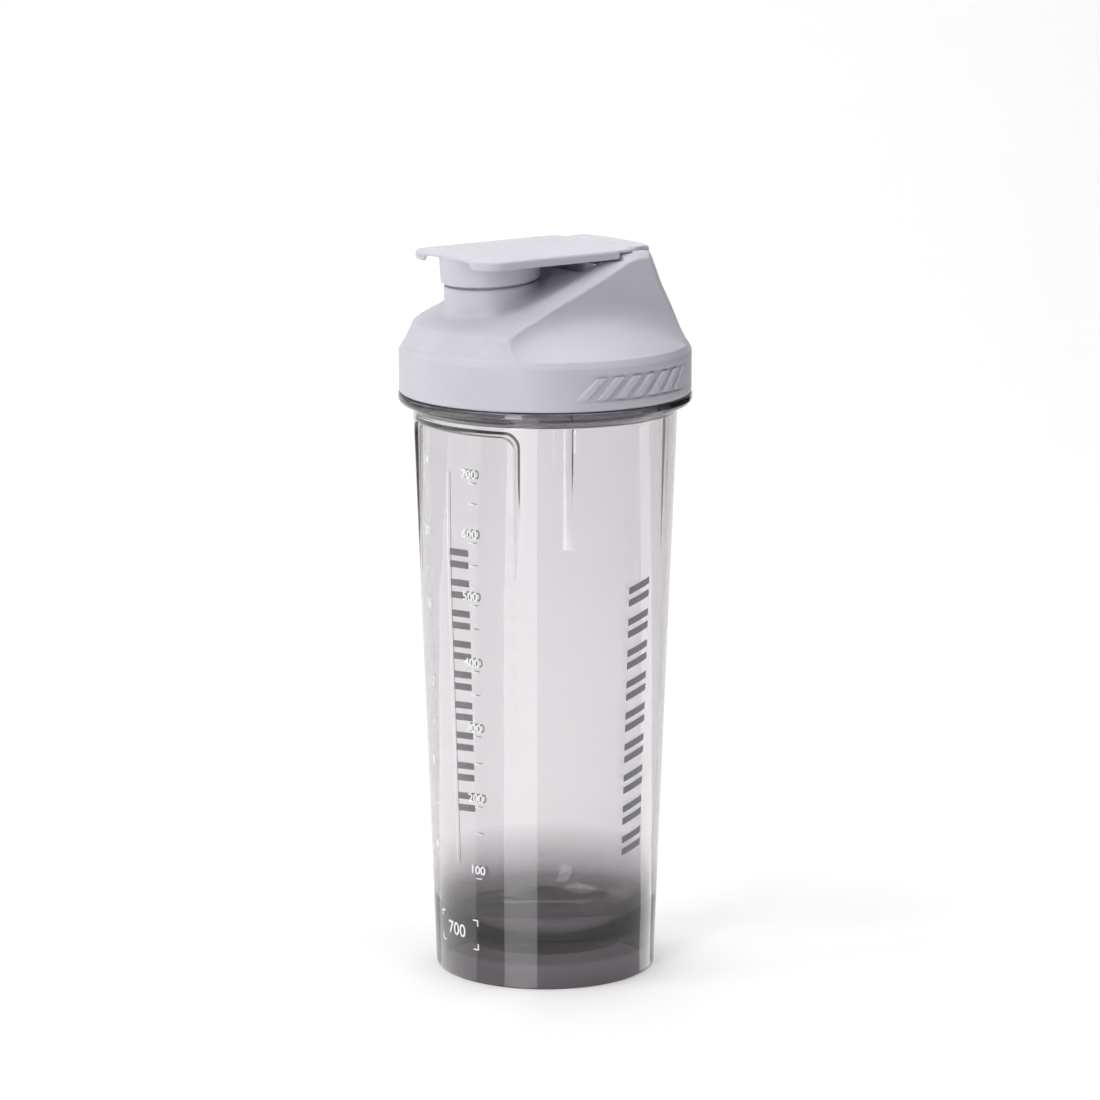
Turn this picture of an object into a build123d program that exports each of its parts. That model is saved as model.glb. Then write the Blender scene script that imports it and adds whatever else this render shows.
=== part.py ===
from build123d import *
import math
import os

# Protein shaker bottle: a clear tapered cup, a screw lid with a pouring spout,
# and a flip arm that closes the spout.
# Frame: origin at the centre of the foot, +Z up, spout towards -Y, hinge towards +Y.
# All lengths in millimetres.

# ---------------------------------------------------------------- cup
FOOT_R = 36.18            # outer radius of the cone where it meets the ground
TAPER = 0.0372            # growth of the outer radius per mm of height
WALL = 2.0                # wall thickness
FOOT_CORNER = 1.0
SKIRT_IN_R = 34.2         # inner radius of the foot skirt
FLOOR_Z = 10.5            # height of the inner floor
BOWL_R = 15.0             # radius between the inner floor and the wall
FLOOR_T = 2.2             # thickness of the floor
FLANGE_Z0, FLANGE_Z1 = 189.6, 192.1
FLANGE_R = 47.9
NECK_R = 43.4
NECK_IN_R = 41.3
RIM_Z = 203.5
PANEL_AZ = 8.0            # turn of the grip panels from the front, about +Z
PANEL_HALF_W = 23.6
PANEL_TOP_Z = 183.6
PANEL_END_Z = 134.0
PANEL_DEPTH = 1.35        # at its top edge, fading to nothing at PANEL_END_Z

# ---------------------------------------------------------------- thread
LEAD = 6.0                # rise per turn, two starts
THREAD_CREST_R = 44.95
LID_CREST_R = 43.75
LID_BORE_R = 45.3

# ---------------------------------------------------------------- lid
LID_Z0 = 192.35
LID_R = 47.6
SIDE_X = 26.0             # half width of the tower at z = 224
SIDE_DRAFT = 0.11         # narrowing of that half width per mm of height
BEVEL_W = 4.0
BEVEL_H = 3.1
SPOUT_Y = -21.5
SPOUT_TILT = 4.0          # degrees, mouth towards the front
SPOUT_R = 15.2            # outside of the neck
SPOUT_TOP_R = 13.85       # outside of the mouth, inside the cap
SPOUT_BORE_R = 12.5
SPOUT_STEP_Z = 229.4
SPOUT_TOP_Z = 235.3

# ---------------------------------------------------------------- hinge
HINGE_Y, HINGE_Z = 26.0, 234.8
PIN_R = 1.25
PIN_HALF = 20.3
KNUCKLE_R = 4.2
NOTCH_R = 8.8             # swept clearance about the pin
NOTCH_X = 17.5
TONGUE_X = 17.2

# ---------------------------------------------------------------- flip arm
ARM_TOP_Z = 239.4
ARM_RIM_Z = 236.5
ARM_SHEET = 1.4
ARM_X = 22.8
ARM_FRONT_Y = -38.6
ARM_SHOULDER_Y = 14.2
ARM_REAR_R = 33.7
ARM_TILT = 0.45           # degrees, rising towards the hinge
CAP_R = 16.0
CAP_IN_R = 14.2
CAP_Z = 230.3
PLUG_R = 10.6
SEAL_R = 12.3


def profile(pts):
    """Closed face in the XZ plane from (r, z) or (r, z, corner radius) points."""
    n = len(pts)
    P = [(p[0], p[1]) for p in pts]
    rad = [p[2] if len(p) > 2 else 0.0 for p in pts]
    ins, outs, mids = [], [], []
    for i in range(n):
        x, z = P[i]
        if rad[i] <= 0:
            ins.append((x, z)); outs.append((x, z)); mids.append(None)
            continue
        ax, az = P[i - 1][0] - x, P[i - 1][1] - z
        bx, bz = P[(i + 1) % n][0] - x, P[(i + 1) % n][1] - z
        la, lb = math.hypot(ax, az), math.hypot(bx, bz)
        ax, az, bx, bz = ax / la, az / la, bx / lb, bz / lb
        ang = math.acos(max(-1, min(1, ax * bx + az * bz)))
        t = rad[i] / math.tan(ang / 2)
        cx, cz = ax + bx, az + bz
        lc = math.hypot(cx, cz)
        cx, cz = cx / lc, cz / lc
        d = rad[i] / math.sin(ang / 2)
        ins.append((x + ax * t, z + az * t))
        outs.append((x + bx * t, z + bz * t))
        mids.append((x + cx * (d - rad[i]), z + cz * (d - rad[i])))
    edges = []
    v = lambda p: Vector(p[0], 0, p[1])
    for i in range(n):
        if mids[i] is not None:
            edges.append(Edge.make_three_point_arc(v(ins[i]), v(mids[i]), v(outs[i])))
        a, b = outs[i], ins[(i + 1) % n]
        if math.hypot(a[0] - b[0], a[1] - b[1]) > 1e-6:
            edges.append(Edge.make_line(v(a), v(b)))
    return Face(Wire(edges))


def turned(pts):
    return revolve(profile(pts), Axis.Z, 360)


def rod(r, a, b):
    """Cylinder of radius r from point a to point b."""
    a, b = Vector(*a), Vector(*b)
    return extrude(Plane(origin=a, z_dir=(b - a)) * Circle(r), (b - a).length)


def block(x0, x1, y0, y1, z0, z1):
    return Pos((x0 + x1) / 2, (y0 + y1) / 2, (z0 + z1) / 2) * Box(x1 - x0, y1 - y0, z1 - z0)


def prism_x(pts, half):
    """Solid from a closed (y, z) outline, extruded both ways along X."""
    w = Wire.make_polygon([Vector(-half, p[0], p[1]) for p in pts], close=True)
    return extrude(Face(w), amount=2 * half, dir=(1, 0, 0))


def ridge(r0, r1, w0, w1, z, a0, turn):
    """One helical thread ridge: r0 root, r1 crest, w0/w1 widths, from height z at angle a0."""
    rise = LEAD * turn / 360.0
    path = Pos(0, 0, z) * Rot(0, 0, a0) * Helix(pitch=LEAD, height=rise, radius=(r0 + r1) / 2)
    start = path @ 0
    tan = path % 0
    radial = Vector(start.X, start.Y, 0).normalized()
    pl = Plane(origin=start, x_dir=radial, z_dir=tan)
    m = (r0 + r1) / 2
    up = 1.0 if pl.y_dir.Z > 0 else -1.0
    pts = [(r0 - m, -w0 / 2), (r1 - m, -w1 / 2), (r1 - m, w1 / 2), (r0 - m, w0 / 2)]
    face = Face(Wire.make_polygon([pl.from_local_coords(Vector(p[0], up * p[1], 0)) for p in pts], close=True))
    return sweep(face, path=path, is_frenet=True)


def try_fillet(body, pick, radius, name):
    try:
        edges = pick(body)
        if not edges:
            print("no edges for", name)
            return body
        out = body.fillet(radius, edges) if hasattr(body, "fillet") else fillet(edges, radius)
        if out.is_valid and out.volume > 0:
            return out
        print("invalid fillet", name)
    except Exception as err:
        print("fillet skipped", name, str(err)[:80])
    return body


def one(shape):
    s = shape.solids()
    return max(s, key=lambda q: q.volume)


# ================================================================ cup
def wall_r(z):
    return FOOT_R + TAPER * z


bowl_cx = wall_r(FLOOR_Z + BOWL_R) - WALL - BOWL_R
bowl_cz = FLOOR_Z + BOWL_R
under_r = BOWL_R + FLOOR_T
skirt_top = bowl_cz - math.sqrt(under_r ** 2 - (SKIRT_IN_R + 0.2 - bowl_cx) ** 2)
outer = turned([
    (0, 0), (wall_r(0), 0, FOOT_CORNER),
    (wall_r(187.2), 187.2, 2.2), (FLANGE_R - 0.6, FLANGE_Z0 - 0.4, 0.8), (FLANGE_R, FLANGE_Z0 + 0.6, 0.5),
    (FLANGE_R, FLANGE_Z1, 0.6), (NECK_R, FLANGE_Z1, 0.5),
    (NECK_R, RIM_Z, 0.7), (0, RIM_Z)])
inner = turned([
    (0, FLOOR_Z), (wall_r(FLOOR_Z) - WALL, FLOOR_Z, BOWL_R),
    (wall_r(187.0) - WALL, 187.0, 6.0), (NECK_IN_R, 190.5, 6.0), (NECK_IN_R, RIM_Z + 2), (0, RIM_Z + 2)])
foot_skirt = turned([
    (0, -2), (SKIRT_IN_R, -2), (SKIRT_IN_R, 0), (SKIRT_IN_R + 0.2, skirt_top, 0.0),
    (SKIRT_IN_R + 0.2, skirt_top + 0.01), (0, skirt_top + 0.01)])
under_arc = revolve(
    Face(Wire([
        Edge.make_line(Vector(0, 0, bowl_cz + 2), Vector(0, 0, FLOOR_Z - FLOOR_T)),
        Edge.make_line(Vector(0, 0, FLOOR_Z - FLOOR_T), Vector(bowl_cx, 0, bowl_cz - under_r)),
        Edge.make_three_point_arc(
            Vector(bowl_cx, 0, bowl_cz - under_r),
            Vector(bowl_cx + under_r * math.sin(math.radians(40)), 0, bowl_cz - under_r * math.cos(math.radians(40))),
            Vector(bowl_cx + under_r, 0, bowl_cz)),
        Edge.make_line(Vector(bowl_cx + under_r, 0, bowl_cz), Vector(bowl_cx + under_r, 0, bowl_cz + 2)),
        Edge.make_line(Vector(bowl_cx + under_r, 0, bowl_cz + 2), Vector(0, 0, bowl_cz + 2))])),
    Axis.Z, 360)
foot_void = foot_skirt - under_arc


def panel_window(grow, top):
    w = PANEL_HALF_W + grow
    sk = make_face(Polyline(
        (-w, PANEL_END_Z - 6), (w, PANEL_END_Z - 6), (w, top + grow), (-w, top + grow), close=True))
    corners = [v for v in sk.vertices() if v.Y > top - 1]
    sk = fillet(corners, 5.0 + grow)
    return extrude(Plane(origin=(0, -20, 0), x_dir=(1, 0, 0), z_dir=(0, -1, 0)) * sk, 40)


def panel_r(z, inset=0.0):
    return wall_r(z) - PANEL_DEPTH * (z - PANEL_END_Z) / (PANEL_TOP_Z - PANEL_END_Z) - inset


zz0, zz1 = PANEL_END_Z - 10, PANEL_TOP_Z + 8
panel_core = turned([(0, zz0), (panel_r(zz0), zz0), (panel_r(zz1), zz1), (0, zz1)])
panel_cut = panel_window(0, PANEL_TOP_Z) - panel_core
bump_ring = turned([(panel_r(zz0, WALL), zz0), (wall_r(zz0) - 0.5 * WALL, zz0),
                    (wall_r(zz1) - 0.9 * WALL, zz1), (panel_r(zz1, WALL), zz1)])
bump = panel_window(1.2, PANEL_TOP_Z) & bump_ring
cup = outer - inner - foot_void
for k in (0, 180):
    turn = Rot(0, 0, PANEL_AZ + k)
    cup = cup + turn * bump
    cup = cup - turn * panel_cut
for k in (0, 180):
    cup = cup + ridge(NECK_R - 0.3, THREAD_CREST_R, 1.9, 0.9, 195.6, k + 20, 300)
cup = one(cup)
print("cup", cup.is_valid, round(cup.volume / 1000, 2))

# ================================================================ lid
shell = turned([
    (0, LID_Z0), (LID_R - 0.3, LID_Z0, 0.3), (LID_R, LID_Z0 + 1.0, 0.6), (LID_R, 206.0, 1.2), (46.4, 208.2, 1.6),
    (40.0, 212.3, 30), (32.0, 215.4, 30), (24.0, 217.2, 20), (0, 218.5)])

tower_round = turned([
    (0, 200), (46.6, 200), (47.0, 206.2, 1.0), (45.9, 208.7, 3.0), (43.7, 213.0, 10), (40.7, 220.5, 10),
    (37.4, 227.8, 12), (35.7, 232.8, 8), (33.6, 238.4, 3.2), (0, 238.4)])


def side_x(z):
    return SIDE_X - SIDE_DRAFT * (z - 224.0)


edge_line = [(-50, 211.6), (-33.2, 217.0), (-22.0, 220.3), (-12.3, 223.9), (-4.0, 227.0), (3.9, 230.2), (10.0, 232.9),
             (16.0, 235.6), (19.0, 236.4), (26.0, 236.4), (50, 236.4)]


def sloped_prism(lift, half, top_cap):
    crv = Spline(*[Vector(-half, y, min(z + lift, top_cap)) for y, z in edge_line[1:8]])
    pts0 = [Vector(-half, -50, 200), Vector(-half, -50, edge_line[0][1] + lift)]
    a = crv @ 0
    b = crv @ 1
    e = [Edge.make_line(pts0[0], pts0[1]), Edge.make_line(pts0[1], a), crv,
         Edge.make_line(b, Vector(-half, 20.0, b.Z + 0.8)), Edge.make_line(Vector(-half, 20.0, b.Z + 0.8), Vector(-half, 50, b.Z + 0.8)),
         Edge.make_line(Vector(-half, 50, b.Z + 0.8), Vector(-half, 50, 200)), Edge.make_line(Vector(-half, 50, 200), pts0[0])]
    return extrude(Face(Wire(e)), amount=2 * half, dir=(1, 0, 0))


def slab(inset):
    z0, z1 = 195.0, 245.0
    a0, a1 = side_x(z0) - inset, side_x(z1) - inset
    w = Wire.make_polygon([Vector(-a0, -60, z0), Vector(a0, -60, z0), Vector(a1, -60, z1), Vector(-a1, -60, z1)], close=True)
    return extrude(Face(w), amount=120, dir=(0, 1, 0))


# tower: stacked bands from the outer ridge edge to the deck make the bevel
steps = 4
tower = None
for i in range(steps + 1):
    f = i / steps
    layer = sloped_prism(BEVEL_H * f, 40, 300) & slab(BEVEL_W * f)
    tower = layer if tower is None else tower + layer
tower = tower & tower_round
front_dome = turned([
    (0, 190), (60, 190), (60, 205.5), (47.3, 205.5), (46.6, 206.8, 2), (44.1, 210.0, 4), (42.2, 215.2, 1.2), (40.4, 216.6, 3),
    (36.9, 218.7, 10), (34.3, 220.0, 10), (23.0, 229.6), (0, 240)])
front_half = block(-60, 60, -60, -8.0, 150, 260)
tower = (tower - front_half) + (tower & front_half & front_dome)
lid = shell + tower
lid = one(lid)
print("lid base", lid.is_valid, round(lid.volume / 1000, 2))

# soft corner between the tower sides and the shoulder
lid = try_fillet(lid, lambda b: [e for e in b.edges()
                                 if 24.5 < abs(e.center().X) < 29.5 and 208.5 < e.center().Z < 217.8
                                 and abs(e.center().Y) < 33], 4.5, "scoop")

# spout neck, tilted
sp = Plane(origin=(0, SPOUT_Y, 231.3),
           z_dir=(0, -math.sin(math.radians(SPOUT_TILT)), math.cos(math.radians(SPOUT_TILT))), x_dir=(1, 0, 0))


def spout_rod(r, z0, z1):
    return extrude(Plane(origin=sp.from_local_coords(Vector(0, 0, z0 - 231.3)), z_dir=sp.z_dir, x_dir=(1, 0, 0)) * Circle(r), z1 - z0)


neck = spout_rod(SPOUT_R, 214.0, SPOUT_STEP_Z)
neck = try_fillet(neck, lambda b: [e for e in b.edges() if e.center().Z > 228], 0.8, "neck step")
mouth = spout_rod(SPOUT_TOP_R, 216.0, SPOUT_TOP_Z)
mouth = try_fillet(mouth, lambda b: [e for e in b.edges() if e.center().Z > 234], 0.5, "mouth")
lid = lid + neck
lid = try_fillet(one(lid), lambda b: [e for e in b.edges()
                                      if e.center().Z < 229 and e.center().Z > 216.5 and e.length > 8
                                      and all(abs(math.hypot((e @ t).X, (e @ t).Y - SPOUT_Y) - SPOUT_R) < 1.3 for t in (0, 0.5, 1))],
                 1.6, "spout base")
lid = lid + mouth

# hollow underside
hollow = turned([
    (0, 186), (LID_BORE_R, 186), (LID_BORE_R, 202.0), (44.8, 202.6), (44.8, 205.4), (41.0, 205.4), (40.6, 206.6, 0.5),
    (36.0, 210.4, 8), (28.0, 213.4, 8), (18.0, 214.9), (0, 214.9)])
core_round = turned([(0, 200), (43.5, 200), (42.4, 208.7), (40.2, 213.0), (37.2, 220.5), (34.0, 227.8), (0, 227.8)])
core_front = turned([(0, 190), (60, 190), (60, 203), (44.0, 203), (40.6, 210.0), (38.8, 213.4), (34.0, 216.0), (31.5, 217.0),
                     (23.0, 224.5), (0, 232)])
core = sloped_prism(0.0, 40, 300) & slab(3.0) & core_round & block(-60, 60, -60, 60, 204, 221.8)
core = (core - front_half) + (core & front_half & core_front)
lid = lid - hollow - core
lid = lid - spout_rod(SPOUT_BORE_R, 206.0, SPOUT_TOP_Z + 3)

# collar that carries the mixing grid
COLLAR_R, COLLAR_IN_R, COLLAR_Z = 39.6, 38.0, 197.8
collar = turned([(COLLAR_IN_R, COLLAR_Z, 0.3), (COLLAR_R, COLLAR_Z, 0.3), (COLLAR_R, 209.5), (COLLAR_IN_R, 211.0)])
lid = lid + collar

# pocket for the arm between the ears, and the hinge notch
lid = lid - block(-23.3, 23.3, -60, 14.8, 235.75, 260)
lid = lid - block(-NOTCH_X, NOTCH_X, 2.2, 21.0, 224.6, 260)
lid = lid - block(-NOTCH_X, NOTCH_X, 15.0, 60, HINGE_Z - NOTCH_R, 260)
lid = lid - rod(PIN_R, (-PIN_HALF, HINGE_Y, HINGE_Z), (PIN_HALF, HINGE_Y, HINGE_Z))

# slanted grip bars, seven a side
BAR_Z0, BAR_Z1 = 196.4, 202.9
BAR_AZ0, BAR_STEP, BAR_W = 67.3, 7.9, 4.0
bar_ring = turned([(46.0, BAR_Z0 - 1), (48.1, BAR_Z0 - 1), (48.1, BAR_Z1 + 1), (46.0, BAR_Z1 + 1)])
bars = None
for k in range(7):
    az = BAR_AZ0 + BAR_STEP * k + BAR_W / 2 + 4.0
    rad = math.radians(az)
    n = Vector(math.sin(rad), -math.cos(rad), 0)
    t = Vector(math.cos(rad), math.sin(rad), 0)
    w = 48.1 * math.radians(BAR_W) / 2
    s = 48.1 * math.radians(8.0) / 2
    o = n * 44.0
    P = lambda u, z: Vector(o.X + t.X * u, o.Y + t.Y * u, z)
    face = Face(Wire.make_polygon([P(-s - w, BAR_Z0), P(-s + w, BAR_Z0), P(s + w, BAR_Z1), P(s - w, BAR_Z1)], close=True))
    bar = extrude(face, amount=6, dir=(n.X, n.Y, 0)) & bar_ring
    bars = bar if bars is None else bars + bar
lid = lid + bars + mirror(bars, Plane.YZ)
for k in (0, 180):
    lid = lid + ridge(LID_BORE_R + 0.3, LID_CREST_R, 1.7, 0.7, 194.1, k + 200, 200)
lid_shell = one(lid)
print("lid_shell", lid_shell.is_valid, round(lid_shell.volume / 1000, 2), len(lid.solids()))

# ================================================================ gasket, grid, pin
lid_gasket = turned([(41.2, 203.62, 0.4), (44.6, 203.62, 0.4), (44.6, 205.3, 0.3), (41.2, 205.3, 0.3)])
GRID_R, GRID_Z = 37.92, 198.2
grid = turned([(0, GRID_Z), (GRID_R, GRID_Z, 0.4), (GRID_R, GRID_Z + 5.0), (GRID_R - 1.2, GRID_Z + 5.0),
               (GRID_R - 1.2, GRID_Z + 1.6), (0, GRID_Z + 1.6)])
cell = 6.6
cuts = []
for i in range(-6, 7):
    for j in range(-6, 7):
        x, y = i * cell, j * cell
        if math.hypot(abs(x) + cell * 0.38, abs(y) + cell * 0.38) > 35.5:
            continue
        cuts.append(Pos(x, y, GRID_Z + 0.8) * Box(cell - 1.8, cell - 1.8, 4))
mixing_grid = one(grid - cuts)
print("grid", mixing_grid.is_valid, len(cuts))
hinge_pin = one(rod(PIN_R, (-PIN_HALF + 0.05, HINGE_Y, HINGE_Z), (PIN_HALF - 0.05, HINGE_Y, HINGE_Z)))

# ================================================================ flip arm
front = Pos(0, (ARM_FRONT_Y + ARM_SHOULDER_Y) / 2) * Rectangle(2 * ARM_X, ARM_SHOULDER_Y - ARM_FRONT_Y)
front = fillet([v for v in front.vertices() if v.Y < 0], 7.5)
front = fillet([v for v in front.vertices() if v.Y > 0], 1.6)
tongue = (Pos(0, 22) * Rectangle(2 * TONGUE_X, 40)) & Circle(ARM_REAR_R)
outline = front + tongue
plate = extrude(Pos(0, 0, ARM_RIM_Z) * outline, ARM_TOP_Z - ARM_RIM_Z)
plate = try_fillet(one(plate), lambda b: [e for e in b.edges() if e.center().Z > ARM_TOP_Z - 0.05 and e.center().Y > 31], 2.2, "arm rear")
plate = try_fillet(one(plate), lambda b: [e for e in b.edges() if e.center().Z > ARM_TOP_Z - 0.05 and e.center().Y < 31], 0.7, "arm top")
under = Pos(0, (ARM_FRONT_Y + ARM_SHOULDER_Y) / 2) * Rectangle(2 * ARM_X - 3.2, ARM_SHOULDER_Y - ARM_FRONT_Y - 3.2)
under = fillet([v for v in under.vertices() if v.Y < 0], 5.9)
plate = plate - extrude(Pos(0, 0, ARM_RIM_Z - 1) * under, ARM_TOP_Z - ARM_SHEET - ARM_RIM_Z + 1)
# arched front rim
arch = prism_x([(-50, 230), (-30, 230), (-30, ARM_RIM_Z + 1.9), (-50, ARM_RIM_Z + 1.9)], 13.5)
arch = try_fillet(one(arch), lambda b: [e for e in b.edges() if e.center().Z > ARM_RIM_Z + 1.8 and abs(e.center().X) > 13], 1.7, "arch")
plate = plate - arch
knuckle = rod(KNUCKLE_R, (-TONGUE_X, HINGE_Y, HINGE_Z), (TONGUE_X, HINGE_Y, HINGE_Z))
web = prism_x([(13.0, ARM_RIM_Z + 0.1), (18.0, 233.4), (HINGE_Y - 2.0, HINGE_Z - KNUCKLE_R + 0.6), (HINGE_Y, HINGE_Z),
               (HINGE_Y + 3.6, HINGE_Z + 2.0), (HINGE_Y + 3.4, ARM_RIM_Z + 1.0), (13.0, ARM_RIM_Z + 1.5)], TONGUE_X)
arm = plate + knuckle + web
tilt = Pos(0, HINGE_Y, HINGE_Z) * Rot(ARM_TILT, 0, 0) * Pos(0, -HINGE_Y, -HINGE_Z)
arm = tilt * arm
# closing cap over the mouth, and the spigot that carries the seal
cap = spout_rod(CAP_R, CAP_Z, 237.6) - spout_rod(CAP_IN_R, CAP_Z - 1, 236.3)
cap = cap + (spout_rod(PLUG_R, 231.6, 237.6) - spout_rod(PLUG_R - 1.8, 231.0, 236.3))
arm = arm + cap
arm = arm - rod(PIN_R + 0.05, (-30, HINGE_Y, HINGE_Z), (30, HINGE_Y, HINGE_Z))
arm = arm - Pos(7.0, 21.0, ARM_TOP_Z + 1.25) * Sphere(1.6)
flip_arm = one(arm)
print("flip_arm", flip_arm.is_valid, round(flip_arm.volume / 1000, 2), len(arm.solids()))
seal = spout_rod(SEAL_R, 231.9, 235.8) - spout_rod(PLUG_R, 231.0, 237)
spout_seal = try_fillet(one(seal), lambda b: [e for e in b.edges() if e.center().Z < 232.6 and e.radius > 12], 0.6, "seal")

parts = {
    "cup": cup, "lid_shell": lid_shell, "lid_gasket": one(lid_gasket), "mixing_grid": mixing_grid,
    "hinge_pin": hinge_pin, "flip_arm": flip_arm, "spout_seal": spout_seal,
}
os.makedirs("parts", exist_ok=True)
for name, solid in parts.items():
    export_step(solid, "parts/" + name + ".step")
    bb = solid.bounding_box()
    print(name, solid.is_valid, [round(v, 2) for v in (bb.min.X, bb.min.Y, bb.min.Z, bb.max.X, bb.max.Y, bb.max.Z)])
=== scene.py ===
import bpy
import bmesh
import math
import numpy as np
from mathutils import Matrix, Vector


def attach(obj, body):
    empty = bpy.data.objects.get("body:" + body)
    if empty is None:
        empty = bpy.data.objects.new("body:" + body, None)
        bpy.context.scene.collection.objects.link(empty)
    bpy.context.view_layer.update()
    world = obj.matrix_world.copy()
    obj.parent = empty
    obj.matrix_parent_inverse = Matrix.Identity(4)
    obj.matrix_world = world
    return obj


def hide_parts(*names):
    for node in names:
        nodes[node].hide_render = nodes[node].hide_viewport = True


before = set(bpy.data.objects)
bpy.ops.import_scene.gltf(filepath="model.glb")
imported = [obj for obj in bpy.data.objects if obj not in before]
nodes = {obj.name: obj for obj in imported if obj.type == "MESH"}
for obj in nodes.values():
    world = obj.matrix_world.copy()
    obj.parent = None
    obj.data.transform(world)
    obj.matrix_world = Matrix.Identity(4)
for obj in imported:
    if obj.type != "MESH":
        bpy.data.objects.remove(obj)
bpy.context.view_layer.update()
MM = 0.001
scene = bpy.context.scene
coll = scene.collection

# ------------------------------------------------------------------ dimensions (mm)
FOOT_R, TAPER, WALL = 36.18, 0.0372, 2.0
FLOOR_Z, FLOOR_T, BOWL_R = 10.5, 2.2, 15.0
SKIRT_IN_R = 34.2
FLANGE_Z0, FLANGE_Z1, FLANGE_R = 189.6, 192.1, 47.9
NECK_R, NECK_IN_R, RIM_Z = 43.4, 41.3, 203.5
PANEL_AZ, PANEL_TOP, PANEL_END, PANEL_DEPTH, PANEL_HALF, PANEL_ROUND = 8.0, 183.6, 134.0, 1.35, 24.9, 5.0
LEAD = 6.0
LID_Z0, LID_R = 192.35, 47.6
SIDE_X, SIDE_DRAFT, BEVEL_W, BEVEL_H = 26.0, 0.11, 4.0, 3.1
SPOUT_Y, SPOUT_TILT, SPOUT_R, SPOUT_TOP_R, SPOUT_BORE_R = -21.5, 4.0, 15.2, 13.85, 12.5
SPOUT_STEP_Z, SPOUT_TOP_Z, SPOUT_REF = 229.4, 235.3, 231.3
HINGE_Y, HINGE_Z = 26.0, 234.8


# ------------------------------------------------------------------ small helpers
def smoothstep(a, b, t):
    q = np.clip((t - a) / (b - a), 0.0, 1.0)
    return q * q * (3 - 2 * q)


def smin(a, b, k):
    h = np.maximum(k - np.abs(a - b), 0.0) / k
    return np.minimum(a, b) - h * h * k * 0.25


def smax(a, b, k):
    return -smin(-a, -b, k)


def rounded(pts, n=8):
    """Closed outline from (r, z[, radius]) corners, with the corners turned into arcs of n steps."""
    out = []
    m = len(pts)
    for i in range(m):
        p = np.array(pts[i][:2], float)
        rad = pts[i][2] if len(pts[i]) > 2 else 0.0
        if rad <= 0:
            out.append(tuple(p))
            continue
        a = np.array(pts[i - 1][:2], float) - p
        b = np.array(pts[(i + 1) % m][:2], float) - p
        la, lb = np.linalg.norm(a), np.linalg.norm(b)
        a, b = a / la, b / lb
        ang = math.acos(max(-1.0, min(1.0, float(a @ b))))
        t = min(rad / math.tan(ang / 2), 0.48 * la, 0.48 * lb)
        rr = t * math.tan(ang / 2)
        bis = (a + b) / np.linalg.norm(a + b)
        c = p + bis * rr / math.sin(ang / 2)
        s0, s1 = p + a * t - c, p + b * t - c
        a0, a1 = math.atan2(s0[1], s0[0]), math.atan2(s1[1], s1[0])
        d = (a1 - a0 + math.pi) % (2 * math.pi) - math.pi
        for k in range(n + 1):
            q = a0 + d * k / n
            out.append((c[0] + rr * math.cos(q), c[1] + rr * math.sin(q)))
    return out


class Turned:
    """Signed distance to a turned solid, from its outline in (r, z), read from a fine table."""
    STEP, R0, R1, Z0, Z1 = 0.12, 0.0, 62.0, 180.0, 246.0

    def __init__(self, pts):
        poly = np.array(rounded(pts), float)
        rs = np.arange(self.R0, self.R1, self.STEP)
        zs = np.arange(self.Z0, self.Z1, self.STEP)
        R, Z = np.meshgrid(rs, zs, indexing="ij")
        best = np.full(R.shape, 1e9)
        inside = np.zeros(R.shape, bool)
        n = len(poly)
        for i in range(n):
            a, b = poly[i], poly[(i + 1) % n]
            if abs(a[0]) < 1e-9 and abs(b[0]) < 1e-9:
                continue
            e = b - a
            L = float(e @ e)
            if L < 1e-14:
                continue
            t = np.clip(((R - a[0]) * e[0] + (Z - a[1]) * e[1]) / L, 0, 1)
            d = (R - a[0] - t * e[0]) ** 2 + (Z - a[1] - t * e[1]) ** 2
            best = np.minimum(best, d)
            if a[1] != b[1]:
                hit = ((a[1] > Z) != (b[1] > Z)) & (R < (b[0] - a[0]) * (Z - a[1]) / (b[1] - a[1]) + a[0])
                inside ^= hit
        self.T = (np.sqrt(best) * np.where(inside, -1.0, 1.0)).astype(np.float32)

    def __call__(self, r, z):
        u = np.clip((r - self.R0) / self.STEP, 0, self.T.shape[0] - 1.001)
        v = np.clip((z - self.Z0) / self.STEP, 0, self.T.shape[1] - 1.001)
        i, j = u.astype(np.int32), v.astype(np.int32)
        fu, fv = u - i, v - j
        T = self.T
        return ((T[i, j] * (1 - fu) + T[i + 1, j] * fu) * (1 - fv) + (T[i, j + 1] * (1 - fu) + T[i + 1, j + 1] * fu) * fv)


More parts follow.
